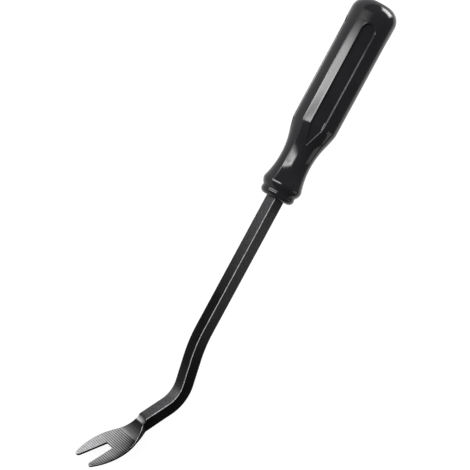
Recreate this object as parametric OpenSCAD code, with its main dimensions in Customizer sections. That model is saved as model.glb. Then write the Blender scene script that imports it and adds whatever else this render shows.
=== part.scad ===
// Trim removal tool: a fluted handle moulded over the tang of a cranked square bar
// whose end is forged into a scooped, serrated, forked blade. Sizes are millimetres.
// Tool frame: X runs from the handle to the fork, Z to the serrated side, origin at the nose.

/* [Handle] */
// length of the moulded handle
handle_l = 106; // [92:1:125]
// radius over the lobes of the grip
grip_r = 11.7; // [10.4:0.1:13.2]
// how far the waist lies below the grip
waist_depth = 3.7; // [3.2:0.1:4.3]
// distance from the nose to the waist
waist_x = 20.8; // [19:0.1:24]
// radius of the hollow of the waist
waist_arc_r = 41.5; // [36:0.5:47]
// slope of the shoulder between waist and grip, degrees
shoulder_angle = 16; // [13:0.5:19]
// radius over the rim of the collar
collar_r = 10.05; // [9.2:0.05:10.6]
// length from the nose to the rim of the collar
collar_x = 5.6; // [5.2:0.1:7.6]
// step from the nose up to the rim of the collar
nose_step = 1.3; // [1:0.05:1.6]
// length of the hollow between the nose and the rim of the collar
cove_l = 2.4; // [1.8:0.1:2.6]
// radius of the rounding on the nose
nose_round = 2.6; // [2:0.1:2.6]
// radius of the rounding on the end of the butt
butt_round = 7.1; // [4:0.1:8.5]
// radius of the dome that closes the butt
dome_r = 47; // [32:1:80]

/* [Flutes] */
// number of flutes round the grip
flute_n = 4; // [3:1:6]
// half width of a flute's floor
flute_half = 3; // [2:0.1:3.4]
// depth of a flute below the lobes
flute_depth = 1.4; // [0.8:0.05:1.8]
// distance from the butt's end to the flutes
flute_end_gap = 12.7; // [10.5:0.1:17]
// distance from the waist to the points of the flutes
flute_point = 8.3; // [6:0.1:10]
// turn of the first flute from the serrated side, degrees
flute_turn = 51; // [0:1:90]
// slope of a flute's walls from square, degrees
flute_draft = 30; // [15:1:40]

/* [Bar] */
// side of the square bar
bar_w = 6.6; // [5.6:0.1:7.6]
// flat broken on each long edge of the bar
edge_break = 0.3; // [0.2:0.05:0.8]
// swelling of the bar where it is bent, each side
bend_swell = 0.02; // [0.02:0.01:0.1]
// length of the tang inside the handle
tang_l = 60; // [40:1:75]
// straight length from the nose to the first bend
shank_l = 71.9; // [50:0.5:100]

/* [Crank] */
// turn of the first bend, away from the serrated side, degrees
crank_down = 14.9; // [10:0.1:20]
// centre line radius of the first bend
crank_down_r = 61; // [45:1:80]
// straight length between the bends
crank_l = 13.3; // [8:0.1:20]
// rise of the neck above the handle's line, degrees
crank_up = 39.3; // [32:0.1:46]
// centre line radius of the second bend
crank_up_r = 15.7; // [12:0.1:22]
// straight neck from the second bend to the step
neck_l = 15.9; // [12:0.1:22]

/* [Blade] */
// length from the step to the tips
blade_l = 33.5; // [29:0.1:38]
// half of the blade's greatest width
blade_half = 10.45; // [9.4:0.05:12]
// distance from the step to the widest place
widest_x = 20.3; // [18:0.1:22]
// radius of the rounded sides seen from above
side_r = 25; // [22:0.5:32]
// depth of the step at the head of the scoop
step_depth = 1.44; // [1.1:0.02:1.7]
// radius of the fillet in the step
step_fillet = 2.4; // [1.8:0.1:3]
// depth of the scoop below the top of the neck
scoop_depth = 4.44; // [4:0.02:4.7]
// distance from the step to the deepest place of the scoop
scoop_x = 8.2; // [7:0.1:9.5]
// radius of the long hollow along the prongs
prong_hollow_r = 325; // [250:5:600]
// slope at which the long hollow begins, degrees
prong_slope = 5.2; // [4:0.1:6]
// thickness of the blade at the tips
tip_t = 1.1; // [0.9:0.05:1.5]
// radius of the rounded tips
tip_round = 1.6; // [1.2:0.1:1.9]
// distance from the step to where the underside begins to thin
thin_x = 4.5; // [3:0.1:6]

/* [Slot] */
// distance from the step to the root of the slot
slot_x = 18.2; // [16:0.1:20]
// width of the slot at its root
slot_root_w = 5.24; // [4.6:0.02:6]
// width of the slot at its mouth
slot_mouth_w = 9.1; // [8:0.1:10.6]

/* [Serrations] */
// pitch of the cross grooves on the blade
groove_pitch = 1.07; // [0.8:0.01:1.3]
// depth of a cross groove
groove_depth = 0.24; // [0.1:0.02:0.3]
// distance from the step to the first groove
groove_x = 8.55; // [8.3:0.05:12]
// plain length left between the last groove and the tips
groove_end_gap = 0.9; // [0.6:0.1:2]

/* [Fit] */
// gap between the tang and the moulded socket, each side
socket_gap = 0.05; // [0.02:0.01:0.2]
// gap past the end of the tang
socket_end_gap = 0.2; // [0.1:0.05:1]

/* [Hidden] */
$fa = 4;
$fs = 0.5;
half = bar_w / 2;
bend_half = half + bend_swell;
// how far a straight piece runs into the next bend
lap = 0.5;

// handle profile: the hollow runs two degrees past the shoulder's slope, so that they cross
arc_end_a = shoulder_angle + 2;
waist_r = grip_r - waist_depth;
waist_c = waist_r + waist_arc_r;
arc_end_x = waist_x + waist_arc_r * sin(arc_end_a);
arc_end_r = waist_c - waist_arc_r * cos(arc_end_a);
shoulder_x = arc_end_x + (grip_r - arc_end_r) / tan(shoulder_angle);
nose_r = collar_r - nose_step;
cove_r = (pow(nose_step, 2) + pow(cove_l, 2)) / (2 * nose_step);
rim_l = 0.8;

// flutes
flute_floor = grip_r - flute_depth;
flute_top = grip_r + 1;
flute_rise = flute_top - flute_floor;
flute_lap = 0.4;
flute_end_x = handle_l - flute_end_gap;
flute_tip_x = waist_x + flute_point;
flute_tip_r = waist_c - sqrt(pow(waist_arc_r, 2) - pow(flute_point, 2));
flute_run = shoulder_x - flute_tip_x;
flute_fall = atan((flute_floor - flute_tip_r) / flute_run);

// crank
bend_total = crank_down + crank_up;
down_x = shank_l + crank_down_r * sin(crank_down);
down_z = -crank_down_r * (1 - cos(crank_down));
mid_x = down_x + crank_l * cos(crank_down);
mid_z = down_z - crank_l * sin(crank_down);
heel_x = mid_x + crank_up_r * sin(crank_down);
heel_c = mid_z + crank_up_r * cos(crank_down);
neck_x = heel_x + crank_up_r * sin(crank_up);
neck_z = heel_c - crank_up_r * cos(crank_up);
step_x = neck_x + neck_l * cos(crank_up);
step_z = neck_z + neck_l * sin(crank_up);

// scoop: an arc through the foot of the step, then the long hollow tangent to it
step_foot = half - step_depth;
scoop_low = half - scoop_depth;
scoop_rise = step_foot - scoop_low;
scoop_r = (pow(scoop_x, 2) + pow(scoop_rise, 2)) / (2 * scoop_rise);
scoop_c = scoop_low + scoop_r;
join_x = scoop_x + scoop_r * sin(prong_slope);
join_z = scoop_c - scoop_r * cos(prong_slope);
hollow_x = join_x - prong_hollow_r * sin(prong_slope);
hollow_c = join_z + prong_hollow_r * cos(prong_slope);
tip_top = hollow_c - sqrt(pow(prong_hollow_r, 2) - pow(blade_l - hollow_x, 2));
tip_low = tip_top - tip_t;
groove_n = floor((blade_l - groove_end_gap - groove_x) / groove_pitch);
groove_over = 0.1;

// plan of the blade: sides are arcs, met by straight flares from the step that end just inside them
side_c = side_r - blade_half;
flare_r = side_r - 0.02;
flare_d = sqrt(pow(widest_x, 2) + pow(half + side_c, 2));
flare_t = sqrt(pow(flare_d, 2) - pow(flare_r, 2));
flare_a = atan2(-half - side_c, widest_x) + asin(flare_r / flare_d);
flare_x = flare_t * cos(flare_a);
flare_y = half + flare_t * sin(flare_a);
flare_lap = 3;
tip_start = blade_l - tip_round;
tip_out = sqrt(pow(side_r, 2) - pow(tip_start - widest_x, 2)) - side_c;
slot_slope = (slot_mouth_w - slot_root_w) / 2 / (blade_l - slot_x);
tip_in = slot_root_w / 2 + (tip_start - slot_x) * slot_slope;
tip_y = (tip_out + tip_in) / 2;

// rest: the tool lies on the grip's shoulder, the heel of the crank and one side of the blade
rest_back = 4.7;
rest_u = widest_x - rest_back;
rest_w = sqrt(pow(side_r, 2) - pow(rest_back, 2)) - side_c;
rest_low = -half + (rest_u - thin_x) / (blade_l - thin_x) * (tip_low + half);
rest_side_x = step_x + rest_u * cos(crank_up) - rest_low * sin(crank_up);
rest_side_z = step_z + rest_u * sin(crank_up) + rest_low * cos(crank_up);
rest_grip_x = -shoulder_x;
rest_heel_z = crank_up_r + bend_half - heel_c - edge_break;
rest_q = (rest_side_x - rest_grip_x) / (heel_x - rest_grip_x);
rest_a = rest_w - rest_q * bend_half;
rest_b = rest_side_z + rest_q * rest_heel_z;
rest_lean = acos(-grip_r * (rest_q - 1) / norm([rest_a, rest_b])) - atan2(rest_b, rest_a);
rest_heel = bend_half * cos(rest_lean) + rest_heel_z * sin(rest_lean);
rest_pitch = atan((grip_r - rest_heel) / (heel_x - rest_grip_x));
rest_roll = 90 - rest_lean;
rest_lift = grip_r * cos(rest_pitch) + rest_grip_x * sin(rest_pitch);
tip_x = step_x + blade_l * cos(crank_up) - tip_top * sin(crank_up);
tip_z = step_z + blade_l * sin(crank_up) + tip_top * cos(crank_up);
rest_mid_x = (tip_x * cos(rest_pitch) - handle_l) / 2;
rest_mid_y = (grip_r - tip_z * sin(rest_roll) - tip_y * cos(rest_roll)) / 2;

// square with its corners broken, grown by g on every side
module section(g = 0) {
    s = half + g;
    b = edge_break;
    polygon([
        [s - b, -s],
        [s, b - s],
        [s, s - b],
        [s - b, s],
        [b - s, s],
        [-s, s - b],
        [-s, b - s],
        [b - s, -s]
    ]);
}

// straight piece of bar along X
module straight(l, g = 0) {
    rotate([90, 0, 90])
        linear_extrude(l)
            section(g);
}

// bend that starts along X and turns towards Z
module bend(r, a) {
    translate([0, 0, r])
        rotate([90, 90, 0])
            rotate_extrude(angle = a)
                translate([r, 0])
                    section(bend_swell);
}

// half profile of the handle, radius along X and distance from the nose along Y
module handle_profile() {
    difference() {
        union() {
            square([nose_r - nose_round, collar_x]);
            translate([0, nose_round])
                square([nose_r, collar_x - nose_round]);
            intersection() {
                translate([nose_r - nose_round, nose_round])
                    circle(nose_round);
                square([nose_r, collar_x]);
            }
            translate([0, collar_x - cove_l])
                square([collar_r, cove_l + rim_l]);
            translate([0, collar_x])
                square([collar_r, waist_x - collar_x]);
            translate([0, waist_x])
                square([grip_r, handle_l - butt_round - waist_x]);
            intersection() {
                union() {
                    square([grip_r - butt_round, handle_l]);
                    translate([grip_r - butt_round, handle_l - butt_round])
                        circle(butt_round);
                }
                translate([0, handle_l - dome_r])
                    circle(dome_r);
                translate([0, waist_x])
                    square([grip_r, handle_l]);
            }
        }
        translate([nose_r + cove_r, collar_x - cove_l])
            circle(cove_r);
        translate([waist_c, waist_x])
            circle(waist_arc_r);
        polygon([
            [arc_end_r - tan(shoulder_angle), arc_end_x - 1],
            [grip_r, shoulder_x],
            [waist_c, shoulder_x],
            [waist_c, waist_x]
        ]);
    }
}

// one flute at the top of the grip: straight run, round end, and a point down the shoulder
module flute() {
    wide = flute_half + flute_rise * tan(flute_draft);
    translate([flute_half - flute_end_x - flute_lap, 0, 0])
        rotate([90, 0, 90])
            linear_extrude(flute_end_x - flute_half - shoulder_x + 2 * flute_lap)
                polygon([
                    [-flute_half, flute_floor],
                    [flute_half, flute_floor],
                    [wide, flute_top],
                    [-wide, flute_top]
                ]);
    translate([flute_half - flute_end_x, 0, flute_floor])
        cylinder(r1 = flute_half, r2 = wide, h = flute_rise);
    translate([-shoulder_x, 0, flute_floor])
        rotate([0, flute_fall, 0])
            linear_extrude(flute_rise + 1)
                polygon([
                    [-flute_lap, -flute_half],
                    [flute_run / cos(flute_fall), 0],
                    [-flute_lap, flute_half]
                ]);
}

// seen from the side: neck and blade, foot of the step at the origin
module blade_side() {
    difference() {
        polygon([
            [-half, -half],
            [thin_x, -half],
            [blade_l, tip_low],
            [blade_l, half],
            [-half, half]
        ]);
        translate([0, step_foot + step_fillet])
            circle(step_fillet, $fn = 96);
        translate([scoop_x, scoop_c])
            circle(scoop_r, $fn = 192);
        intersection() {
            translate([hollow_x, hollow_c])
                circle(prong_hollow_r, $fn = 1440);
            translate([join_x, -half])
                square([blade_l, 4 * half]);
        }
        for (i = [0 : groove_n]) {
            x = groove_x + i * groove_pitch;
            arc_x = x < join_x ? scoop_x : hollow_x;
            arc_c = x < join_x ? scoop_c : hollow_c;
            arc_r = x < join_x ? scoop_r : prong_hollow_r;
            translate([x, arc_c - sqrt(pow(arc_r, 2) - pow(x - arc_x, 2))])
                rotate(asin((x - arc_x) / arc_r))
                    polygon([
                        [-0.7 * groove_depth, -groove_depth],
                        [groove_depth, groove_over],
                        [-1.1 * groove_depth, groove_over]
                    ]);
        }
    }
}

// seen from above: flares, rounded sides, rounded tips and the tapered slot
module blade_plan() {
    difference() {
        intersection() {
            union() {
                polygon([
                    [-half, -half],
                    [0, -half],
                    [flare_x, -flare_y],
                    [flare_x, flare_y],
                    [0, half],
                    [-half, half]
                ]);
                intersection() {
                    translate([widest_x, -side_c])
                        circle(side_r, $fn = 360);
                    translate([widest_x, side_c])
                        circle(side_r, $fn = 360);
                    translate([flare_x - flare_lap, -blade_half])
                        square([blade_l, 2 * blade_half]);
                }
            }
            union() {
                translate([-half, -2 * blade_half])
                    square([tip_start + half, 4 * blade_half]);
                for (s = [-1, 1]) {
                    translate([tip_start, s * tip_y])
                        circle(tip_round);
                }
            }
        }
        polygon([
            [slot_x, -slot_root_w / 2],
            [blade_l, -slot_mouth_w / 2],
            [blade_l + 2, -slot_mouth_w / 2],
            [blade_l + 2, slot_mouth_w / 2],
            [blade_l, slot_mouth_w / 2],
            [slot_x, slot_root_w / 2]
        ]);
    }
}

// forked blade with the foot of the step at the origin
module blade() {
    intersection() {
        rotate([90, 0, 0])
            linear_extrude(4 * blade_half, center = true)
                blade_side();
        translate([0, 0, -2 * bar_w])
            linear_extrude(4 * bar_w)
                blade_plan();
        translate([0, -2 * blade_half, -2 * bar_w])
            cube([2 * blade_l, 4 * blade_half, 4 * bar_w]);
    }
}

// neck that ends in the fillet of the step
module neck() {
    difference() {
        translate([-lap, 0, 0])
            straight(neck_l + lap);
        translate([neck_l, 0, 0])
            rotate([90, 0, 0])
                linear_extrude(2 * bar_w, center = true)
                    translate([0, step_foot + step_fillet])
                        circle(step_fillet, $fn = 96);
    }
}

// lays the tool down as it comes to rest, centred on its own box
module at_rest() {
    translate([-rest_mid_x, -rest_mid_y, rest_lift])
        rotate([0, rest_pitch, 0])
            rotate([rest_roll, 0, 0])
                children();
}

// moulded handle with a blind socket for the tang
module handle() {
    color([0.03, 0.03, 0.034])
        at_rest()
            difference() {
                rotate([0, -90, 0])
                    rotate_extrude($fn = 120)
                        handle_profile();
                for (i = [0 : flute_n - 1]) {
                    rotate([-flute_turn - i * 360 / flute_n, 0, 0])
                        flute();
                }
                translate([-tang_l - socket_end_gap, 0, 0])
                    straight(tang_l + socket_end_gap + 1, socket_gap);
            }
}

// cranked bar with its tang and its forked blade
module bar() {
    color([0.07, 0.07, 0.075])
        at_rest()
            union() {
                translate([-tang_l, 0, 0])
                    straight(tang_l + shank_l + lap);
                translate([shank_l, 0, 0])
                    mirror([0, 0, 1])
                        bend(crank_down_r, crank_down);
                translate([down_x, 0, down_z])
                    rotate([0, crank_down, 0]) {
                        translate([-lap, 0, 0])
                            straight(crank_l + 2 * lap);
                        translate([crank_l, 0, 0]) {
                            bend(crank_up_r, bend_total);
                            translate([0, 0, crank_up_r])
                                rotate([0, -bend_total, 0])
                                    translate([0, 0, -crank_up_r]) {
                                        neck();
                                        translate([neck_l, 0, 0])
                                            blade();
                                    }
                        }
                    }
            }
}

handle();
bar();
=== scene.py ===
# %% [markdown]
# # A trim removal tool
# A black moulded handle with flutes holds a square steel bar. The bar is cranked and ends in a
# forked blade with a ground, serrated face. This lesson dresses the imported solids: each visible
# skin is worked out as numpy arrays, then gets a procedural finish, a floor, lamps and a camera.

# %% Load the fixed frame
import math

import bpy
import numpy as np
from mathutils import Matrix, Vector


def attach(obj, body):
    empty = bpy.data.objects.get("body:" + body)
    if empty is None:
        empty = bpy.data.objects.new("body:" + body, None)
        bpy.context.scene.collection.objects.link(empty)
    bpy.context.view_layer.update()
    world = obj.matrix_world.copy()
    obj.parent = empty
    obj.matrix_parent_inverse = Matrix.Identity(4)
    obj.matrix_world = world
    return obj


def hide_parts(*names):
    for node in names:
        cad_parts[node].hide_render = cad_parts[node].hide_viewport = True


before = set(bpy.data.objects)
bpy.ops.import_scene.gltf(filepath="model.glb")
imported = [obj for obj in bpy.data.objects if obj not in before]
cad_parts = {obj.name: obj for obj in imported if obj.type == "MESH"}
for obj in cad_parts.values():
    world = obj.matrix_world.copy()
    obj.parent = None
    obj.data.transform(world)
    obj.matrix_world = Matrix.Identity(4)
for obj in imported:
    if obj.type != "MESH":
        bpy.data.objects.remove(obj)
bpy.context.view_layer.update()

MM = 0.001

# %% [markdown]
# ## Sizes of the tool
# A maker would measure the real tool with a caliper, so the sizes are kept in millimetres and in
# the tool's own axes: X runs from the handle to the fork, Z towards the serrated side, and the
# origin lies on the nose of the handle. Everything below is worked out from these few numbers.

# %% Sizes of the handle
handle_l = 106.0
grip_r = 11.7
waist_r = grip_r - 3.7
waist_x = 20.8
waist_arc_r = 41.5
shoulder_slope = math.radians(16)
arc_end_angle = math.radians(18)
shoulder_soft = 0.25
collar_r = 10.05
rim_bow = 0.12
rim_back = 0.03
rim_foot = 0.15
nose_step = 1.3
nose_round = 2.6
nose_r = collar_r - nose_step
butt_round = 7.1
dome_r = 47.0
waist_centre = waist_r + waist_arc_r
arc_end_x = waist_x + waist_arc_r * math.sin(arc_end_angle)
arc_end_r = waist_centre - waist_arc_r * math.cos(arc_end_angle)
shoulder_x = arc_end_x + (grip_r - arc_end_r) / math.tan(shoulder_slope)
print("shoulder begins", round(shoulder_x, 2), "mm behind the nose")

# %% Sizes of the flutes
flute_count = 4
flute_half = 3.0
flute_depth = 1.4
flute_floor = grip_r - flute_depth
flute_end_x = handle_l - 12.7
flute_round_x = flute_end_x - flute_half
flute_tip_x = waist_x + 8.3
flute_tip_r = waist_centre - math.sqrt(waist_arc_r**2 - (flute_tip_x - waist_x) ** 2)
flute_turn = math.radians(51)
flute_draft = math.tan(math.radians(30))
flute_margin = 1.6
print("flutes run from", flute_tip_x, "to", flute_end_x, "mm behind the nose")

# %% Sizes of the bar and its crank
bar_half = 3.3
edge_break = 0.3
bar_corner = 0.36
joint_lap = 0.02
tang_l = 60.0
shank_l = 71.9
crank_down = math.radians(14.9)
crank_down_r = 61.0
crank_l = 13.3
crank_up = math.radians(39.3)
crank_up_r = 15.7
neck_l = 15.9
socket_gap = 0.05
socket_spare = 0.2
down_x = shank_l + crank_down_r * math.sin(crank_down)
down_z = -crank_down_r * (1 - math.cos(crank_down))
mid_x = down_x + crank_l * math.cos(crank_down)
mid_z = down_z - crank_l * math.sin(crank_down)
heel_x = mid_x + crank_up_r * math.sin(crank_down)
heel_centre = mid_z + crank_up_r * math.cos(crank_down)
neck_x = heel_x + crank_up_r * math.sin(crank_up)
neck_z = heel_centre - crank_up_r * math.cos(crank_up)
step_x = neck_x + neck_l * math.cos(crank_up)
step_z = neck_z + neck_l * math.sin(crank_up)
print("step of the blade at", round(step_x, 2), round(step_z, 2))

# %% Sizes of the blade
blade_l = 33.5
blade_half = 10.45
widest_x = 20.3
side_r = 25.0
side_centre = side_r - blade_half
step_foot = bar_half - 1.44
step_fillet = 2.4
step_soft = 0.25
scoop_low = bar_half - 4.44
scoop_x = 8.2
scoop_rise = step_foot - scoop_low
scoop_r = (scoop_x**2 + scoop_rise**2) / (2 * scoop_rise)
scoop_centre = scoop_low + scoop_r
hollow_r = 325.0
hollow_slope = math.radians(5.2)
join_x = scoop_x + scoop_r * math.sin(hollow_slope)
join_z = scoop_centre - scoop_r * math.cos(hollow_slope)
hollow_x = join_x - hollow_r * math.sin(hollow_slope)
hollow_centre = join_z + hollow_r * math.cos(hollow_slope)
tip_t = 1.1
tip_top = hollow_centre - math.sqrt(hollow_r**2 - (blade_l - hollow_x) ** 2)
tip_low = tip_top - tip_t
thin_x = 4.5
tip_round = 1.6
tip_start = blade_l - tip_round
slot_x = 18.2
slot_root = 5.24 / 2
slot_mouth = 9.1 / 2
slot_slope = (slot_mouth - slot_root) / (blade_l - slot_x)
tip_out = math.sqrt(side_r**2 - (tip_start - widest_x) ** 2) - side_centre
tip_in = slot_root + (tip_start - slot_x) * slot_slope
tip_y = (tip_out + tip_in) / 2
groove_pitch = 1.07
groove_depth = 0.24
groove_x = 8.55
groove_count = math.floor((blade_l - 0.9 - groove_x) / groove_pitch)
print("prong tips are", round(tip_t, 2), "mm thick at", round(tip_y, 2), "mm from the middle")

# %% [markdown]
# ## How the tool lies
# The tool cannot stand, so it rests on three places: the shoulder of the grip, the heel of the
# crank and one side of the blade. Rolling about its length and pitching a little brings all three
# to the floor. The same turn is applied to every array, so that each object stays at the origin.

# %% Lay the tool down
rest_back = 4.7
rest_u = widest_x - rest_back
rest_w = math.sqrt(side_r**2 - rest_back**2) - side_centre
rest_low = -bar_half + (rest_u - thin_x) / (blade_l - thin_x) * (tip_low + bar_half)
rest_side_x = step_x + rest_u * math.cos(crank_up) - rest_low * math.sin(crank_up)
rest_side_z = step_z + rest_u * math.sin(crank_up) + rest_low * math.cos(crank_up)
bend_half = bar_half + joint_lap
rest_heel_z = crank_up_r + bend_half - heel_centre - edge_break
rest_q = (rest_side_x + shoulder_x) / (heel_x + shoulder_x)
rest_a = rest_w - rest_q * bend_half
rest_b = rest_side_z + rest_q * rest_heel_z
rest_lean = math.acos(-grip_r * (rest_q - 1) / math.hypot(rest_a, rest_b)) - math.atan2(rest_b, rest_a)
rest_heel = bend_half * math.cos(rest_lean) + rest_heel_z * math.sin(rest_lean)
rest_pitch = math.atan((grip_r - rest_heel) / (heel_x + shoulder_x))
rest_roll = math.pi / 2 - rest_lean
rest_lift = grip_r * math.cos(rest_pitch) - shoulder_x * math.sin(rest_pitch)
tip_end_x = step_x + blade_l * math.cos(crank_up) - tip_top * math.sin(crank_up)
tip_end_z = step_z + blade_l * math.sin(crank_up) + tip_top * math.cos(crank_up)
rest_mid_x = (tip_end_x * math.cos(rest_pitch) - handle_l) / 2
rest_mid_y = (grip_r - tip_end_z * math.sin(rest_roll) - tip_y * math.cos(rest_roll)) / 2
LAY = (
    Matrix.Translation((-rest_mid_x, -rest_mid_y, rest_lift))
    @ Matrix.Rotation(rest_pitch, 4, "Y")
    @ Matrix.Rotation(rest_roll, 4, "X")
)


def lay_down(points):
    """Tool millimetres to metres in the shared frame: roll, pitch, shift, then scale."""
    turn = np.array(LAY.to_3x3())
    return (points @ turn.T + np.array(LAY.translation)) * MM


print("rolled and pitched", [round(math.degrees(a), 2) for a in (rest_roll, rest_pitch)], "degrees")

# %% [markdown]
# ## From arrays to a mesh
# A skin is a stack of rings. Quads join each ring to the next, and a fan from the middle of the
# first and last ring closes the ends, so the skin holds water. If its signed volume comes out
# negative the faces look inwards and are turned round. Edges over a chosen angle stay crisp.

# %% Mesh helpers
def mesh_object(name, points, groups, crisp):
    """One object from tool points and arrays of faces, with edges over an angle kept crisp.

    Each face is cut into a fan of triangles. The signed volume is a sixth of the sum, over all
    triangles, of the first corner dotted with the cross product of the other two.
    """
    placed = lay_down(points)
    fans = [g[:, [0, k, k + 1]] for g in groups for k in range(1, g.shape[1] - 1)]
    a, b, c = placed[np.concatenate(fans).T]
    volume = np.einsum("ij,ij->i", a, np.cross(b, c)).sum() / 6
    if volume < 0:
        groups = [g[:, ::-1] for g in groups]
    faces = sum((g.tolist() for g in groups), [])
    mesh = bpy.data.meshes.new(name)
    mesh.from_pydata(placed.tolist(), [], faces)
    mesh.polygons.foreach_set("use_smooth", np.ones(len(faces), bool))
    mesh.set_sharp_from_angle(angle=math.radians(crisp))
    mesh.update()
    piece = bpy.data.objects.new(name, mesh)
    bpy.context.scene.collection.objects.link(piece)
    print(name, len(points), "points", len(faces), "faces", round(abs(volume) * 1e9), "mm3")
    return piece


def ring_faces(rows, cols):
    """Quads between neighbouring rings of a closed stack, and a fan at each end."""
    i, j = np.meshgrid(np.arange(rows - 1), np.arange(cols), indexing="ij")
    k = (j + 1) % cols
    quads = np.stack([i * cols + j, i * cols + k, (i + 1) * cols + k, (i + 1) * cols + j], axis=-1)
    around = np.arange(cols)
    first = rows * cols
    start = np.stack([np.full(cols, first), (around + 1) % cols, around], axis=-1)
    base = (rows - 1) * cols
    end = np.stack([np.full(cols, first + 1), base + around, base + (around + 1) % cols], axis=-1)
    return quads.reshape(-1, 4), start, end


def ring_skin(name, rings, crisp):
    """A closed skin through rings, an array of shape rows by columns by three."""
    rows, cols = rings.shape[:2]
    middles = np.stack([rings[0].mean(axis=0), rings[-1].mean(axis=0)])
    points = np.concatenate([rings.reshape(-1, 3), middles])
    return mesh_object(name, points, ring_faces(rows, cols), crisp)


def point_attribute(piece, name, values):
    """A number for each point of a piece, which its finish reads by name."""
    layer = piece.data.attributes.new(name, "FLOAT", "POINT")
    layer.data.foreach_set("value", values.astype(np.float32))
    print(piece.name, name, "up to", round(float(values.max()), 2))


# %% [markdown]
# ## The handle
# The real handle is moulded plastic: a turned outline with four flat-floored flutes. It could be
# a lathe with booleans, but booleans leave hard ragged edges. Here the outline gives a radius for
# each distance from the nose, each flute gives a radius of its own, and a soft minimum of the two
# rounds the edges as a mould does. The columns follow the flutes, so the edges stay clean.

# %% Outline of the handle
def arc(centre_x, centre_r, radius, start, end, count):
    """Points on a circle: x grows with the cosine and r with the sine of the angle in degrees."""
    angle = np.radians(np.linspace(start, end, count))
    return np.stack([centre_x + radius * np.cos(angle), centre_r + radius * np.sin(angle)], axis=1)


def waist_radius(x):
    """Radius on the hollow of the waist: its centre height less the height of a circle."""
    return waist_centre - np.sqrt(waist_arc_r**2 - (x - waist_x) ** 2)


def soft_min(a, b, width):
    """The smaller of two values, with the corner between them rounded over a width."""
    return (a + b - np.sqrt((a - b) ** 2 + width**2)) / 2


def shoulder_radius(x):
    """Radius where the cone of the shoulder runs into the grip, with a soft corner between."""
    cone = arc_end_r + (x - arc_end_x) * math.tan(shoulder_slope)
    return soft_min(cone, grip_r, shoulder_soft)


def line(x, radius):
    """Points at distances x with one radius or a radius each."""
    x = np.asarray(x, float)
    return np.stack([x, np.broadcast_to(radius, x.shape)], axis=1)


def rim_radius(x):
    """Radius of the collar's bowed rim: full at its top, less a drop that grows as a square."""
    return collar_r - rim_bow * (x - rim_top_x) ** 2


foot_run = np.array([0.25, 0.5, 0.8])
foot_fall = rim_foot * np.array([0.2, 0.7, 1.0])
waist_start = waist_x - math.sqrt(waist_arc_r**2 - (waist_centre - collar_r + rim_back) ** 2)
rim_top_x = waist_start - math.sqrt(rim_back / rim_bow)
rim_foot_x = rim_top_x - math.sqrt((nose_step + rim_foot) / rim_bow)
butt_lean = math.atan2(grip_r - butt_round, dome_r - butt_round)
butt_reach = math.hypot(grip_r - butt_round, dome_r - butt_round)
butt_turn = butt_lean + math.acos(
    (dome_r**2 - butt_reach**2 - butt_round**2) / (2 * butt_reach * butt_round)
)
dome_edge = math.asin((grip_r - butt_round + butt_round * math.sin(butt_turn)) / dome_r)
shoulder_end = shoulder_x + 14
outline = np.concatenate([
    arc(nose_round, nose_r - nose_round, nose_round, 180, 90, 12),
    line(nose_round + foot_run, nose_r - foot_fall),
    line(x := np.linspace(rim_foot_x, waist_start, 24), rim_radius(x)),
    line(x := np.linspace(waist_start + 0.4, flute_tip_x - 0.3, 24), waist_radius(x)),
    line(x := np.linspace(flute_tip_x, arc_end_x - 0.2, 26), waist_radius(x)),
    line(x := np.linspace(arc_end_x, shoulder_x, 34), shoulder_radius(x)),
    line(x := np.linspace(shoulder_x + 0.3, shoulder_end, 40), shoulder_radius(x)),
    line(np.linspace(shoulder_end + 1, flute_round_x - 0.2, 28), grip_r),
    line(np.linspace(flute_round_x, flute_end_x + flute_margin, 40), grip_r),
    line(np.linspace(flute_end_x + 2.0, handle_l - butt_round - 0.3, 6), grip_r),
    arc(handle_l - butt_round, grip_r - butt_round, butt_round, 90, math.degrees(butt_turn), 20),
    arc(handle_l - dome_r, 0, dome_r, math.degrees(dome_edge) - 0.3, 0.4, 8),
])
print("outline of", len(outline), "points, widest", outline[:, 1].max())

# %% Flutes
column_lobe = 14
column_wall = 6
column_floor = 8
soft_edge = 0.16
plain_angle = math.radians(12)
least_angle = 0.012
floor_limit = 0.93
lobe_crowding = 1.6
spread_gap, spread_run = 0.8, 6
out_of_reach = 99.0


def flute_section(x):
    """Floor height, half width and distance past the round end of a flute at distances x.

    The floor is level along the grip and falls to the tip down the shoulder, where the half
    width shrinks in proportion. Past the start of the round end the distance grows with x.
    """
    run = np.clip((x - flute_tip_x) / (shoulder_x - flute_tip_x), 0, 1)
    floor = flute_tip_r + (flute_floor - flute_tip_r) * run
    return floor, flute_half * run, np.clip(x - flute_round_x, 0, None)


def edge_angle(x, radius, height_share):
    """Angle from a flute's middle to its wall, at the floor (share 0) or at the lobe (share 1).

    The wall stands off by the half width plus the rise times the draft; the round end takes
    away the part of that stand-off which the distance along the handle uses up.
    """
    floor, half, past = flute_section(x)
    angle = np.full_like(x, 0.2)
    for _ in range(12):
        rise = np.clip(radius * np.cos(angle) - floor, 0, None) * height_share
        side = np.sqrt(np.clip((half + rise * flute_draft) ** 2 - past**2, 0, None))
        level = radius * height_share + floor / np.cos(angle) * (1 - height_share)
        angle = np.arcsin(np.clip(side / level, 0, 0.5))
    return angle


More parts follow.
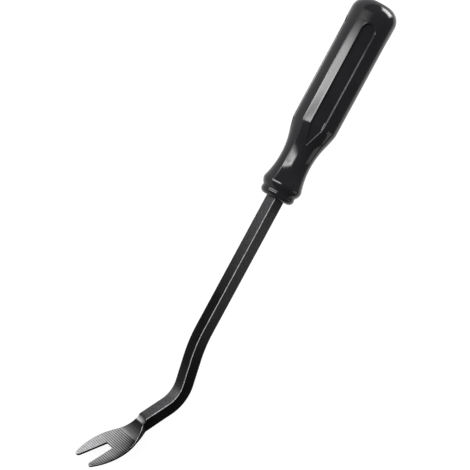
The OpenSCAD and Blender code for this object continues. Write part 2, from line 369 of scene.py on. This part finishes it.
def flute_radius(x, angle):
    """Radius of a flute's own skin along a ray: its floor, or its drafted wall further out.

    On the wall the ray's distance from the flute's middle line equals the half width plus the
    rise times the draft, which is a quadratic in the height.
    """
    floor, half, past = (v[:, None] for v in flute_section(x))
    tangent = np.tan(np.abs(angle))
    offset = half - floor * flute_draft
    a = tangent**2 - flute_draft**2
    b = -2 * offset * flute_draft
    c = past**2 - offset**2
    reach = np.clip(b**2 - 4 * a * c, 0, None)
    leaning = np.minimum(a, -1e-6)
    wall = np.where(a < -1e-6, (-b - np.sqrt(reach)) / (2 * leaning), out_of_reach)
    on_floor = (floor * tangent) ** 2 + past**2 <= half**2
    height = np.where(on_floor, floor, np.maximum(wall, floor))
    return height / np.cos(angle)


def flute_columns(x, radius):
    """Angles of the columns across one flute and its lobes, for each row, within 45 degrees."""
    wall_out = np.maximum(edge_angle(x, radius, 1.0), least_angle)
    wall_in = np.minimum(edge_angle(x, radius, 0.0), wall_out * floor_limit)
    past_ends = np.maximum(flute_tip_x - x, x - flute_end_x - spread_gap)
    away = np.clip(past_ends / spread_run, 0, 1)
    wall_out = wall_out + (plain_angle - wall_out) * away
    wall_in = wall_in + (plain_angle * floor_limit - wall_in) * away
    quarter = math.pi / flute_count
    across_floor = wall_in[:, None] * np.linspace(0, 1, column_floor)[1:]
    wall_width = (wall_out - wall_in)[:, None]
    across_wall = wall_in[:, None] + wall_width * np.linspace(0, 1, column_wall)[1:]
    spread = np.linspace(0, 1, column_lobe)[1:] ** lobe_crowding
    across_lobe = wall_out[:, None] + (quarter - wall_out)[:, None] * spread
    side = np.concatenate([across_floor, across_wall, across_lobe], axis=1)
    other_side = -side[:, -2::-1]
    return np.concatenate([other_side, np.zeros((len(x), 1)), side], axis=1)


def handle_rings():
    """Rings of the handle: socket end, socket mouth, then the outline with its flutes."""
    x, radius = outline.T
    angle = flute_columns(x, radius)
    cut = flute_radius(x, angle)
    fluted = (x > flute_tip_x) & (x < flute_end_x + flute_margin)
    plain = radius[:, None]
    one = np.where(fluted[:, None], soft_min(plain, cut, soft_edge), plain)
    turns = flute_turn + np.arange(flute_count) * 2 * math.pi / flute_count
    phi = np.concatenate([angle + t for t in turns], axis=1)
    skin = np.tile(one, (1, flute_count))
    square = bar_half + socket_gap
    bore = square / np.maximum(np.abs(np.sin(phi[0])), np.abs(np.cos(phi[0])))
    bore = np.minimum(bore, square * math.sqrt(2) - bar_corner * 0.5)
    phi = np.concatenate([phi[:1], phi[:1], phi])
    skin = np.concatenate([bore[None], bore[None], skin])
    x = np.concatenate([[tang_l + socket_spare, 0.0], x])
    return np.stack([
        np.broadcast_to(-x[:, None], skin.shape),
        skin * np.sin(phi),
        skin * np.cos(phi),
    ], axis=-1)


handle = ring_skin("handle_skin", handle_rings(), 55.0)

# %% [markdown]
# ## The bar
# The bar is square stock with softened edges, bent twice in one plane. A curve with a bevel would
# do, but a profile carried along a path keeps the square from twisting: each ring is the same
# rounded square, set square to the heading of the path.

# %% Rounded square and its path
def rounded_square(half, corner, steps=7):
    """Loop of a square with quarter circles at its corners, as width and height."""
    quarter = np.linspace(0, math.pi / 2, steps)
    turn = (np.arange(4) * math.pi / 2)[:, None] + quarter[None]
    diagonal = np.exp(1j * (np.arange(4) * math.pi / 2 + math.pi / 4))
    centres = (half - corner) * math.sqrt(2) * diagonal
    loop = (centres[:, None] + corner * np.exp(1j * turn)).ravel()
    return np.stack([loop.real, loop.imag], axis=1)


def crank_path():
    """Stations along the bar: x, z and heading, from the end of the tang to near the step."""
    down = np.linspace(0, crank_down, 14)
    up = np.linspace(-crank_down, crank_up, 34)
    straight_x = np.array([-tang_l, -1.0, 15.0, 30.0, 55.0])
    straight = np.stack([straight_x, 0 * straight_x, 0 * straight_x], axis=1)
    first = np.stack([
        shank_l + crank_down_r * np.sin(down),
        -crank_down_r * (1 - np.cos(down)),
        -down,
    ], axis=1)
    second = np.stack([
        heel_x + crank_up_r * np.sin(up),
        heel_centre - crank_up_r * np.cos(up),
        up,
    ], axis=1)
    stop = neck_l - neck_lap
    neck = [neck_x + stop * math.cos(crank_up), neck_z + stop * math.sin(crank_up), crank_up]
    return np.concatenate([straight, first, second, [neck]])


neck_lap = 6.0
loop = rounded_square(bar_half, bar_corner)
path = crank_path()
heading = path[:, 2:3]
rings = np.stack([
    path[:, 0:1] - loop[None, :, 1] * np.sin(heading),
    np.broadcast_to(loop[None, :, 0], (len(path), len(loop))),
    path[:, 1:2] + loop[None, :, 1] * np.cos(heading),
], axis=-1)
shank = ring_skin("bar_shank", rings, 50.0)

# %% [markdown]
# ## Painted sheen on the bar
# The black is lightened with painted light: a painted highlight along the rounded edges, then a thin
# painted reflection on the faces near the handle and over the heel of the crank. It could be painted
# on an image, but a number at each point is enough: a half wave over each rounded corner, and a share
# for the two faces along the path.

# %% Painted highlight on the edges and painted reflection on the faces
# Painted highlight: a half wave of grey over each rounded corner of the bar.
round_of_corner = np.sin(np.linspace(0, math.pi, len(loop) // 4))
bar_edge_sheen = np.tile(round_of_corner, (len(path), 4))
# Painted reflection: a thin share of grey on the top face near the handle and over the heel of the
# crank.
top_face_sheen = np.interp(
    path[:, 0],
    [0, 30, 55, 99, 103, 107, 112, 126],
    [0.12, 0.06, 0, 0, 0.06, 0.22, 0.15, 0.08],
)
# Painted reflection on the near face, fading away from the handle.
near_face_sheen = np.interp(path[:, 0], [0, 40, 70, 90], [0.09, 0.08, 0.04, 0.0])
is_top = np.isclose(loop[:, 1], bar_half)
is_near = np.isclose(loop[:, 0], bar_half)
face_sheen = is_top * top_face_sheen[:, None] + is_near * near_face_sheen[:, None]
bar_sheen = np.concatenate([np.maximum(bar_edge_sheen, face_sheen).ravel(), [0, 0]])
point_attribute(shank, "painted_sheen", bar_sheen)

# %% [markdown]
# ## The forked blade
# The blade is forged flat, then its face is ground: a fillet at the step, a scoop, a long hollow
# with saw-like grooves across it, and a tapered slot between two prongs. Two height fields over
# one warped grid make it: the ground face above and the thinning underside below. Cells inside
# the slot are left out, and strips of wall join the two fields along every open edge.

# %% Face and underside of the blade
def face_height(u):
    """Ground face: fillet of the step, scoop arc, then the long hollow, in that order."""
    into = np.clip(u, -step_fillet, 0)
    fillet = step_foot + step_fillet - np.sqrt(step_fillet**2 - into**2)
    scoop = scoop_centre - np.sqrt(np.clip(scoop_r**2 - (u - scoop_x) ** 2, 0, None))
    hollow = hollow_centre - np.sqrt(hollow_r**2 - (u - hollow_x) ** 2)
    neck = np.where(u < -step_fillet, bar_half, soft_min(bar_half, fillet, step_soft))
    return np.where(u < 0, neck, np.where(u < join_x, scoop, hollow))


def groove_offset(u):
    """Distance from the nearest groove's line, counted in groove depths."""
    near = np.clip(np.round((u - groove_x) / groove_pitch), 0, groove_count)
    return (u - groove_x - near * groove_pitch) / groove_depth


def groove_drop(u):
    """Depth of the saw-like grooves: a steep wall on the handle's side, then a slope to the tip."""
    return groove_depth * np.interp(groove_offset(u), [-1.08, -0.7, 0.84], [0, 1, 0])


def groove_shade_band(u):
    """Share of painted shade in and beside each groove: whole in it, fading out past it."""
    return np.interp(groove_offset(u), [-1.4, -1.08, 0.84, 1.3], [0, 1, 1, 0])


def under_height(u):
    """Underside: level below the neck, then a straight taper to the tips."""
    return -bar_half + np.clip((u - thin_x) / (blade_l - thin_x), 0, 1) * (tip_low + bar_half)


def outer_half(u):
    """Half width: the bar, a straight flare, a round side and the round of the tip."""
    flare_r = side_r - joint_lap
    reach = math.hypot(widest_x, bar_half + side_centre)
    run = math.sqrt(reach**2 - flare_r**2)
    slope = math.atan2(-bar_half - side_centre, widest_x) + math.asin(flare_r / reach)
    flare = bar_half + np.clip(u, 0, None) * math.tan(slope)
    side = np.sqrt(np.clip(side_r**2 - (u - widest_x) ** 2, 0, None)) - side_centre
    width = np.where(u < run * math.cos(slope), flare, side)
    past = np.clip(u - tip_start, 0, tip_round)
    tip = tip_y + np.sqrt(tip_round**2 - past**2)
    return np.where(u > tip_start, np.minimum(width, tip), width)


def inner_half(u):
    """Half width of the slot, or of the middle band of columns ahead of its root."""
    width = np.minimum(slot_root, outer_half(u) * 0.6)
    slot = slot_root + (u - slot_x) * slot_slope
    past = np.clip(u - tip_start, 0, tip_round)
    tip = tip_y - np.sqrt(tip_round**2 - past**2)
    return np.where(u < slot_x, width, np.where(u > tip_start, np.maximum(slot, tip), slot))


teeth = groove_x + groove_pitch * np.arange(groove_count + 1)
row_marks = np.array([-1.4, -1.08, -0.9, -0.7, -0.3, 0.1, 0.5, 0.84, 1.3, 2.1])
teeth_rows = (teeth[:, None] + groove_depth * row_marks).ravel()
u = np.unique(np.round(np.concatenate([
    [-neck_lap, -4.0],
    np.linspace(-step_fillet - 0.2, -0.02, 22),
    np.linspace(0, groove_x - 0.4, 34),
    teeth_rows[teeth_rows < blade_l - 0.2],
    [slot_x, tip_start],
    tip_start + tip_round * np.sin(np.linspace(0, math.pi / 2 - 0.03, 12)),
]), 4))
print("blade has", len(u), "rows and", len(teeth), "grooves")

# %% Columns across the blade
slot_round = 0.22
under_round = 0.3
least_thickness = 0.05
edge_bare = np.interp(u, [-2.4, 0.0, 9.0], [0.36, 0.22, 0.16])
room = outer_half(u) - inner_half(u)
edge_out = np.minimum(edge_bare, room * 0.3)[:, None]
edge_in = np.minimum(slot_round, room * 0.2)[:, None]
inner, outer = inner_half(u)[:, None], outer_half(u)[:, None]
share_in = np.array([0, 0.45, 1.0])
share_out = np.array([1.0, 0.62, 0.3, 0.08, 0.0])
flat = np.linspace(0, 1, 8)[1:-1]
side = np.concatenate([
    inner + edge_in * share_in,
    inner + edge_in + (outer - edge_out - inner - edge_in) * flat,
    outer - edge_out * share_out,
], axis=1)
bridge = inner * np.linspace(-1, 1, 7)[1:-1]
across = np.concatenate([-side[:, ::-1], bridge, side], axis=1)
prong_columns = side.shape[1]
slot_left = prong_columns - 1
slot_right = prong_columns + bridge.shape[1]


def rounding(distance, radius):
    """Drop of a quarter-round edge: nothing beyond its radius, a whole radius at the edge."""
    inside = np.clip(radius - distance, 0, None)
    return radius - np.sqrt(np.clip(radius**2 - inside**2, 0, None))


in_slot_rows = u >= slot_x
to_outer = outer - np.abs(across)
to_inner = np.where(in_slot_rows[:, None], np.abs(across) - inner, out_of_reach)
drop = rounding(to_outer, edge_out) + rounding(np.clip(to_inner, 0, None), edge_in)
top = face_height(u)[:, None] - groove_drop(u)[:, None] - drop
low = under_height(u)[:, None] + rounding(to_outer, np.minimum(under_round, edge_out + 0.08))
low = np.minimum(low, top - least_thickness)
print("blade grid", across.shape, "thinnest", round(float((top - low).min()), 3))

# %% Faces of the blade
rows, cols = across.shape
index = np.arange(rows * cols).reshape(rows, cols)
under = index + rows * cols
root = int(np.argmax(in_slot_rows))
i, j = np.meshgrid(np.arange(rows - 1), np.arange(cols - 1), indexing="ij")
kept = ~((i >= root) & (j >= slot_left) & (j < slot_right))
i, j = i[kept], j[kept]
face_quads = np.stack([index[i, j], index[i, j + 1], index[i + 1, j + 1], index[i + 1, j]], axis=-1)
under_quads = np.stack([under[i, j], under[i + 1, j], under[i + 1, j + 1], under[i, j + 1]], axis=-1)


def wall(edge, edge_under):
    """Strip of quads between an edge of the face and the same edge of the underside."""
    return np.stack([edge[:-1], edge[1:], edge_under[1:], edge_under[:-1]], axis=-1)


walls = np.concatenate([
    wall(index[::-1, 0], under[::-1, 0]),
    wall(index[:, -1], under[:, -1]),
    wall(index[root:, slot_left], under[root:, slot_left]),
    wall(index[root:, slot_right][::-1], under[root:, slot_right][::-1]),
    wall(index[root, slot_left:slot_right + 1][::-1], under[root, slot_left:slot_right + 1][::-1]),
    wall(index[0], under[0]),
    wall(index[-1, :slot_left + 1][::-1], under[-1, :slot_left + 1][::-1]),
    wall(index[-1, slot_right:][::-1], under[-1, slot_right:][::-1]),
])
height = np.concatenate([top.ravel(), low.ravel()])
along = np.concatenate([np.broadcast_to(u[:, None], across.shape).ravel()] * 2)
sideways = np.concatenate([across.ravel()] * 2)
points = np.stack([
    step_x + along * math.cos(crank_up) - height * math.sin(crank_up),
    sideways,
    step_z + along * math.sin(crank_up) + height * math.cos(crank_up),
], axis=1)
quads = np.concatenate([face_quads, under_quads, walls])
used = np.unique(quads)
renumber = np.zeros(len(points), int)
renumber[used] = np.arange(len(used))
blade = mesh_object("forked_blade", points[used], [renumber[quads]], 32.0)
ground_start = -2.21
ground = np.zeros(len(quads), np.int32)
ground[:len(face_quads)] = u[i] >= ground_start
print("ground faces", int(ground.sum()), "of", len(quads))

# %% [markdown]
# ## Painted shade and highlights on the blade
# Use polishes the prongs bright. The scoop behind them is dark, partly its left finish and partly
# painted shade, with a painted highlight on the step's fillet; painted shade also fills the grooves,
# most of all along the near side, and darkens the near side, the near edge and the slot's edge, while
# the rounded edges get a painted highlight. As on the bar, numbers at the points carry this: each is
# worked out from the distance past the step, the share of the width and the distance from the edges.

# %% Painted shade and highlights on the ground face
near_band = 2.6
# Tone along the blade: a painted highlight on the step's fillet, near black just past it, then rising
# to bright prongs; the dark scoop is partly its left finish and partly painted shade.
bare_u = [-step_fillet, -0.9, -0.25, 0.3, 2.5, 4.5, 6.5, 8.5, 12.5, 17.0, 22.0, blade_l]
bare_and_shade = [0.15, 0.62, 0.86, 0.0, 0.025, 0.09, 0.22, 0.68, 0.75, 0.86, 0.95, 1.0]
# Painted shade: the ground face darkens towards its near side, by an amount that changes along the
# blade.
near_share = 0.5 + across / (2 * outer)
fall = np.interp(
    u,
    [-0.2, 2.0, 6.0, 8.5, 12.0, 16.0, 22.0, 30.0],
    [1.0, 0.2, 0.45, 1.2, 0.95, 0.72, 0.54, 0.5],
)[:, None]
fade = np.clip(1 - fall * near_share**2, 0.06, 1)
# Painted shade in a band along the near edge, between the scoop and the tips.
near_edge = np.clip(1 - to_outer / near_band, 0, 1) * (across > 0)
edge_shade_depth = np.interp(u, [7, 9, 13, 16, 22, 29], [0, 0.2, 0.35, 0.8, 0.7, 0.5])[:, None]
# The tone along the blade, times the painted shade of the near side and of the near edge.
shine_and_shade = np.interp(u, bare_u, bare_and_shade)[:, None] * fade * (1 - near_edge * edge_shade_depth)
# Painted highlight on the rounded outer edges, along the neck and scoop and round the tips.
on_edge = np.clip(1 - to_outer / np.maximum(edge_out, 1e-3), 0, 1)
edge_highlight = np.interp(u, [0, 1, 9, 13, 25, 31], [0, 0.5, 0.45, 0.15, 0.2, 0.6])[:, None]
shine_and_shade = np.maximum(shine_and_shade, np.minimum(on_edge * 2.5, 1) * edge_highlight)
# Painted shade: the slot's edge on the far side is painted black.
slot_shade = (to_inner < edge_in * 0.5) & (across < 0)
shine_and_shade = np.where(slot_shade, 0.0, shine_and_shade)
# Painted shade in the grooves: faint on the far side, strong on the near side.
far_groove_shade = np.interp(u, [9, 15], [0.22, 0.10])[:, None]
near_groove_shade = np.interp(u, [14, 22], [1.0, 0.6])[:, None]
groove_shade = groove_shade_band(u)[:, None] * (far_groove_shade + (near_groove_shade - far_groove_shade) * near_share)
# Painted reflection on the neck's top and painted highlight on its rounded edges, read by the black
# finish.
neck_sheen = np.interp(u, [-neck_lap, -step_fillet, 0], [0.13, 0.06, 0.0])[:, None]
painted_sheen = np.maximum(np.sin(math.pi * on_edge), neck_sheen * (on_edge < 1)) * (u < 0)[:, None]
for name, values in (("shine_and_shade", shine_and_shade), ("groove_shade", groove_shade), ("painted_sheen", painted_sheen)):
    with_underside = np.concatenate([values.ravel(), np.zeros(across.size)])
    point_attribute(blade, name, with_underside[used])

# %% [markdown]
# ## Finishes
# Three finishes are seen: glossy moulded plastic, satin black steel, and steel ground bare. Each
# is a Principled shader whose roughness and bump come from noise in Object coordinates, at the
# scale of the real grain, so that no image is needed and nothing slides when the view changes.

# %% Helpers for the finishes
def finish_nodes(name):
    """An empty node material with its Principled shader and Object coordinates."""
    material = bpy.data.materials.new(name)
    material.use_nodes = True
    nodes, links = material.node_tree.nodes, material.node_tree.links
    shader = nodes["Principled BSDF"]
    place = nodes.new("ShaderNodeTexCoord")
    return material, nodes, links, shader, place


def noise(nodes, links, place, scale, stretch=(1, 1, 1)):
    """Noise in Object coordinates, stretched along the three axes."""
    mapping = nodes.new("ShaderNodeMapping")
    mapping.inputs["Scale"].default_value = stretch
    links.new(place.outputs["Object"], mapping.inputs["Vector"])
    grain = nodes.new("ShaderNodeTexNoise")
    grain.inputs["Scale"].default_value = scale
    grain.inputs["Detail"].default_value = 4.0
    links.new(mapping.outputs["Vector"], grain.inputs["Vector"])
    return grain.outputs["Fac"]


def between(nodes, links, value, low_value, high_value):
    """A value from 0.3 to 0.7 mapped to a range."""
    ranged = nodes.new("ShaderNodeMapRange")
    ranged.inputs["From Min"].default_value = 0.3
    ranged.inputs["From Max"].default_value = 0.7
    ranged.inputs["To Min"].default_value = low_value
    ranged.inputs["To Max"].default_value = high_value
    links.new(value, ranged.inputs["Value"])
    return ranged.outputs["Result"]


def grain_bump(nodes, links, shader, value, strength, distance):
    """Bump from a grain, with its height in metres."""
    bump = nodes.new("ShaderNodeBump")
    bump.inputs["Strength"].default_value = strength
    bump.inputs["Distance"].default_value = distance
    links.new(value, bump.inputs["Height"])
    links.new(bump.outputs["Normal"], shader.inputs["Normal"])


def tone_ramp(nodes, links, value, dark, pale):
    """A colour between two greys from a value."""
    ramp = nodes.new("ShaderNodeValToRGB")
    ramp.color_ramp.elements[0].position = 0.3
    ramp.color_ramp.elements[1].position = 0.7
    ramp.color_ramp.elements[0].color = (*dark, 1)
    ramp.color_ramp.elements[1].color = (*pale, 1)
    links.new(value, ramp.inputs["Fac"])
    return ramp.outputs["Color"]


# %% Moulded plastic
def moulded_plastic():
    """Black plastic with a polished mould's gloss and a faint orange-peel ripple."""
    material, nodes, links, shader, place = finish_nodes("moulded_plastic")
    fine = noise(nodes, links, place, 900.0)
    broad = noise(nodes, links, place, 60.0)
    tone = tone_ramp(nodes, links, broad, (0.006, 0.006, 0.007), (0.009, 0.009, 0.010))
    links.new(tone, shader.inputs["Base Color"])
    links.new(between(nodes, links, broad, 0.08, 0.12), shader.inputs["Roughness"])
    shader.inputs["Specular IOR Level"].default_value = 0.23
    grain_bump(nodes, links, shader, fine, 0.05, 0.00005)
    return material


# %% Satin black steel
def attribute(nodes, name):
    """The number that a point attribute of the piece holds."""
    layer = nodes.new("ShaderNodeAttribute")
    layer.attribute_name = name
    return layer.outputs["Fac"]


def satin_black():
    """Blackened steel: dark, half matt, finely toothed and mottled, with a painted grey highlight
    mixed in.
    """
    material, nodes, links, shader, place = finish_nodes("satin_black_steel")
    tooth = noise(nodes, links, place, 2600.0)
    mottle = noise(nodes, links, place, 120.0)
    dark, pale = (0.0015, 0.0015, 0.0018), (0.0035, 0.0035, 0.0038)
    black_tone = tone_ramp(nodes, links, mottle, dark, pale)
    patchy = between(nodes, links, noise(nodes, links, place, 1700.0), 0.40, 1.20)
    # Painted highlight and painted reflection: grey mixed into the black where painted_sheen says, in
    # random patches.
    sheen_amount = nodes.new("ShaderNodeMath")
    sheen_amount.operation = "MULTIPLY"
    links.new(attribute(nodes, "painted_sheen"), sheen_amount.inputs[0])
    links.new(patchy, sheen_amount.inputs[1])
    mixed = nodes.new("ShaderNodeMix")
    mixed.data_type = "RGBA"
    links.new(sheen_amount.outputs["Value"], mixed.inputs["Factor"])
    links.new(black_tone, mixed.inputs["A"])
    # Grey of the painted highlight and painted reflection.
    mixed.inputs["B"].default_value = (0.34, 0.34, 0.35, 1)
    links.new(mixed.outputs["Result"], shader.inputs["Base Color"])
    links.new(between(nodes, links, mottle, 0.34, 0.42), shader.inputs["Roughness"])
    shader.inputs["Specular IOR Level"].default_value = 0.03
    grain_bump(nodes, links, shader, tooth, 0.12, 0.00004)
    return material


# %% Ground steel
def ground_steel():
    """Bare steel: dark root (left finish and painted shade), bright prongs, painted shade in the
    grooves.
    """
    material, nodes, links, shader, place = finish_nodes("ground_steel")
    lines = noise(nodes, links, place, 300.0, (1.0, 1.0, 14.0))
    cloud = noise(nodes, links, place, 260.0)
    # Black of the painted shade, at the dark end of the tone and in the grooves.
    shade_black = (0.008, 0.008, 0.009, 1)
    tone = nodes.new("ShaderNodeValToRGB")
    tone.color_ramp.elements[0].color = shade_black
    tone.color_ramp.elements[1].color = (0.62, 0.62, 0.63, 1)
    links.new(attribute(nodes, "shine_and_shade"), tone.inputs["Fac"])
    clouded = nodes.new("ShaderNodeMix")
    clouded.data_type, clouded.blend_type = "RGBA", "MULTIPLY"
    clouded.inputs["Factor"].default_value = 0.5
    links.new(tone.outputs["Color"], clouded.inputs["A"])
    haze = tone_ramp(nodes, links, cloud, (0.55, 0.55, 0.55), (1.0, 1.0, 1.0))
    links.new(haze, clouded.inputs["B"])
    # Painted shade in the grooves mixes the tone towards black.
    cut = nodes.new("ShaderNodeMix")
    cut.data_type = "RGBA"
    links.new(attribute(nodes, "groove_shade"), cut.inputs["Factor"])
    links.new(clouded.outputs["Result"], cut.inputs["A"])
    cut.inputs["B"].default_value = shade_black
    links.new(cut.outputs["Result"], shader.inputs["Base Color"])
    links.new(between(nodes, links, lines, 0.30, 0.44), shader.inputs["Roughness"])
    shader.inputs["Metallic"].default_value = 1.0
    grain_bump(nodes, links, shader, lines, 0.25, 0.00003)
    return material


plastic, black, bare = moulded_plastic(), satin_black(), ground_steel()
handle.data.materials.append(plastic)
shank.data.materials.append(black)
blade.data.materials.append(black)
blade.data.materials.append(bare)
blade.data.polygons.foreach_set("material_index", ground)
print("finishes:", plastic.name, black.name, bare.name)

# %% [markdown]
# ## Fixing the pieces to the frame
# The tool has no joints, so every skin rides on the one body. Each skin names the solid it stands
# for, which is hidden, and the record's finish, which is not used here.

# %% Ride and hide the solids
for piece, node, slot in (
    (handle, "handle", "handle_black"),
    (shank, "bar", "bar_black"),
    (blade, "bar", "bar_black"),
):
    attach(piece, "root")
    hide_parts(node)

# %% [markdown]
# ## Floor and camera
# The tool lies on a plain white floor. A sheet of paper lit from all sides would need many lamps,
# so the floor glows white to the camera and to reflections, and a matt part still takes a soft
# shadow. The camera is given in the tool's own axes and laid down with it.

# %% Floor
def floor_finish():
    """White to the camera and in reflections, with a part that the lamps light and shade."""
    material = bpy.data.materials.new("white_floor")
    material.use_nodes = True
    nodes, links = material.node_tree.nodes, material.node_tree.links
    nodes.remove(nodes["Principled BSDF"])
    matt = nodes.new("ShaderNodeBsdfDiffuse")
    matt.inputs["Color"].default_value = (0.14, 0.14, 0.14, 1)
    glow = nodes.new("ShaderNodeEmission")
    rays = nodes.new("ShaderNodeLightPath")
    seen = nodes.new("ShaderNodeMath")
    seen.operation = "MAXIMUM"
    links.new(rays.outputs["Is Camera Ray"], seen.inputs[0])
    links.new(rays.outputs["Is Glossy Ray"], seen.inputs[1])
    also = nodes.new("ShaderNodeMath")
    also.operation = "MAXIMUM"
    links.new(seen.outputs["Value"], also.inputs[0])
    links.new(rays.outputs["Is Transmission Ray"], also.inputs[1])
    strength = nodes.new("ShaderNodeMath")
    strength.operation = "MULTIPLY"
    strength.inputs[1].default_value = floor_glow
    links.new(also.outputs["Value"], strength.inputs[0])
    links.new(strength.outputs["Value"], glow.inputs["Strength"])
    both = nodes.new("ShaderNodeAddShader")
    links.new(matt.outputs["BSDF"], both.inputs[0])
    links.new(glow.outputs["Emission"], both.inputs[1])
    links.new(both.outputs["Shader"], nodes["Material Output"].inputs["Surface"])
    return material


floor_glow = 0.91
floor_half = 8.0
floor_mesh = bpy.data.meshes.new("floor")
corners = np.array([(-1, -1, 0), (1, -1, 0), (1, 1, 0), (-1, 1, 0)], float) * floor_half
floor_mesh.from_pydata(corners.tolist(), [], [(0, 1, 2, 3)])
floor = bpy.data.objects.new("floor", floor_mesh)
floor.data.materials.append(floor_finish())
bpy.context.scene.collection.objects.link(floor)
print("floor", 2 * floor_half, "m wide")

# %% Camera
seen_from = Vector((-0.73, 436.19, 429.33))
seen_back = Vector((-0.0416, 0.72198, 0.69066))
seen_right = Vector((-0.475, 0.59385, -0.6494))
camera_place = LAY @ seen_from * MM
camera_back = (LAY.to_3x3() @ seen_back).normalized()
camera_right = (LAY.to_3x3() @ seen_right).normalized()
camera_up = camera_back.cross(camera_right).normalized()
camera_right = camera_up.cross(camera_back)
focal_pixels = 1264.0
image_side = 470
camera_data = bpy.data.cameras.new("camera")
camera_data.sensor_width = 36.0
camera_data.lens = focal_pixels / image_side * camera_data.sensor_width
camera = bpy.data.objects.new("camera", camera_data)
turn = Matrix((camera_right, camera_up, camera_back)).transposed()
camera.matrix_world = Matrix.Translation(camera_place) @ turn.to_4x4()
bpy.context.scene.collection.objects.link(camera)
bpy.context.scene.camera = camera
print("lens", round(camera_data.lens, 1), "mm")

# %% [markdown]
# ## Lamps
# Long highlights on black plastic are mirror images of the lamps, so each lamp is placed where the
# mirrored sight line from a part of the handle arrives. A photographer softens a highlight's ends
# with diffusing cloth. Here a few soft boxes of different lengths stand one before another, each a
# little nearer than the last, so that their light adds up and the ends fade in steps.

# %% Soft box
along_x, upright = Vector((1, 0, 0)), Vector((0, 0, 1))


def soft_box(name, middle, facing, along, size_along, size_across, glow):
    """A rectangular lamp at a middle point that faces a direction, its first side along another.

    Its watts are its brightness times its area times pi.
    """
    lamp = bpy.data.lights.new(name, "AREA")
    lamp.shape = "RECTANGLE"
    lamp.size, lamp.size_y = size_along, size_across
    lamp.energy = glow * size_along * size_across * math.pi
    out = facing.normalized()
    x_axis = (along - out * along.dot(out)).normalized()
    y_axis = (-out).cross(x_axis)
    turned = Matrix((x_axis, y_axis, -out)).transposed().to_4x4()
    box = bpy.data.objects.new(name, lamp)
    box.matrix_world = Matrix.Translation(middle) @ turned
    box.visible_camera = False
    bpy.context.scene.collection.objects.link(box)


# %% Lamps for the long highlight
box_y, strip_end_y = -0.60, -0.17
strip_w = strip_end_y - box_y
strip_y, strip_z = (strip_end_y + box_y) / 2, 0.0006
level_gap, strip_gap = 0.006, 0.0003
across_tool = Vector((0, 1, 0))


def standing_box(name, y, start, stop, low_z, high_z, glow):
    """A soft box that stands beside the tool from one x and height to another."""
    middle = Vector(((start + stop) / 2, y, (low_z + high_z) / 2))
    soft_box(name, middle, across_tool, along_x, stop - start, high_z - low_z, glow)


def lying_strip(name, z, start, stop, glow):
    """A strip just above the floor that shines up, from one x to another."""
    middle = Vector(((start + stop) / 2, strip_y, z))
    soft_box(name, middle, upright, along_x, stop - start, strip_w, glow)


box_levels = (
    (-0.204, 0.100, 0.0, 0.92, 3.2),
    (-0.197, 0.070, 0.0, 0.87, 3.2),
    (-0.190, 0.020, 0.0, 0.82, 3.2),
    (-0.183, -0.112, 0.0, 0.77, 5.0),
    (-0.176, -0.120, 0.0, 0.72, 6.5),
)
strip_levels = (
    (-0.140, 0.000, 5.0),
    (-0.135, -0.020, 6.0),
    (-0.130, -0.050, 6.0),
    (-0.125, -0.080, 5.0),
    (-0.120, -0.095, 5.0),
)
for level, (box, strip) in enumerate(zip(box_levels, strip_levels)):
    standing_box("soft_box_%d" % level, box_y + level * level_gap, *box)
    lying_strip("low_strip_%d" % level, strip_z + level * strip_gap, *strip)
print("long highlight from", 2 * len(box_levels), "lamps")

# %% Lamps for the waist, the butt and the shaded side
standing_box("waist_low", box_y + 0.04, -0.092, 0.035, 0.06, 0.37, 6.0)
standing_box("waist_high", box_y + 0.04, -0.140, 0.035, 0.37, 0.70, 9.0)
standing_box("waist_core", box_y + 0.05, -0.090, -0.005, 0.16, 0.60, 4.0)
fill_middle = Vector((0.06, 0.55, 0.29))
soft_box("fill", fill_middle, -fill_middle, along_x, 0.18, 0.34, 1.5)
butt_middle = Vector((-0.64, 0.28, 0.21))
butt_facing = (Vector((-0.12, 0.01, 0.02)) - butt_middle).normalized()
butt_nearer = butt_middle + butt_facing * 0.02
soft_box("butt_wide", butt_middle, butt_facing, upright, 0.40, 0.52, 8.0)
soft_box("butt_inner", butt_nearer, butt_facing, upright, 0.24, 0.38, 16.0)

# %% World and view
world_grey = 0.20
world = bpy.data.worlds.new("studio")
bpy.context.scene.world = world
world.use_nodes = True
world.node_tree.nodes["Background"].inputs["Color"].default_value = (world_grey,) * 3 + (1,)
bpy.context.scene.view_settings.view_transform = "Standard"
print("world grey", world_grey)
